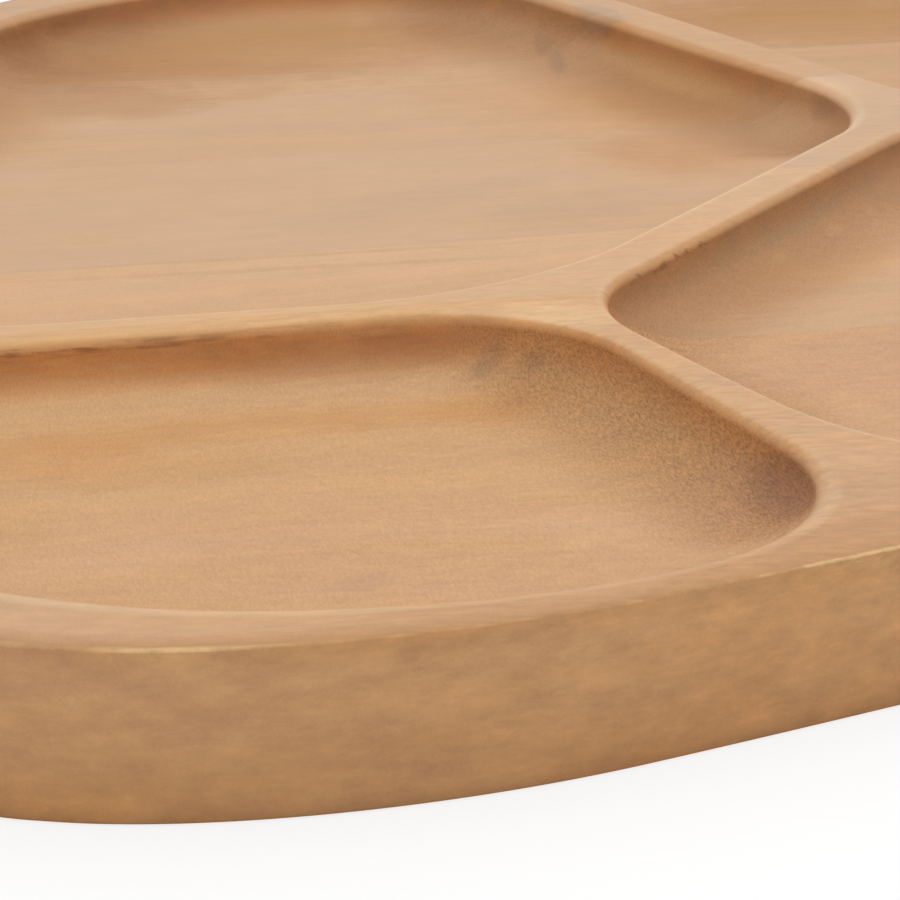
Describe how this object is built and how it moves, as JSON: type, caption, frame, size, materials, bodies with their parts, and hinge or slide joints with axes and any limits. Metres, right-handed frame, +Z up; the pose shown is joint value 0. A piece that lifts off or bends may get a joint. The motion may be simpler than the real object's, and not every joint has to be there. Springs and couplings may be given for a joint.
{
  "type": "divided serving tray",
  "caption": "Divided serving tray in oiled wood with a free rounded outline, carved pockets with flat floors and coved walls, and narrow flat-topped ridges between them.",
  "frame": {"origin": "middle of the underside, under the centre of the bounding box", "axes": "+X along the grain and the longest extent, +Y across the staves from the front edge to the back edge, +Z up"},
  "size_m": [0.38, 0.264, 0.02],
  "materials": {
    "oiled_wood": "matte oiled"
  },
  "bodies": {
    "root": {"front_edge_stave": "oiled_wood", "front_stave": "oiled_wood", "front_middle_stave": "oiled_wood", "back_middle_stave": "oiled_wood", "back_stave": "oiled_wood", "back_edge_stave": "oiled_wood"}
  },
  "joints": []
}
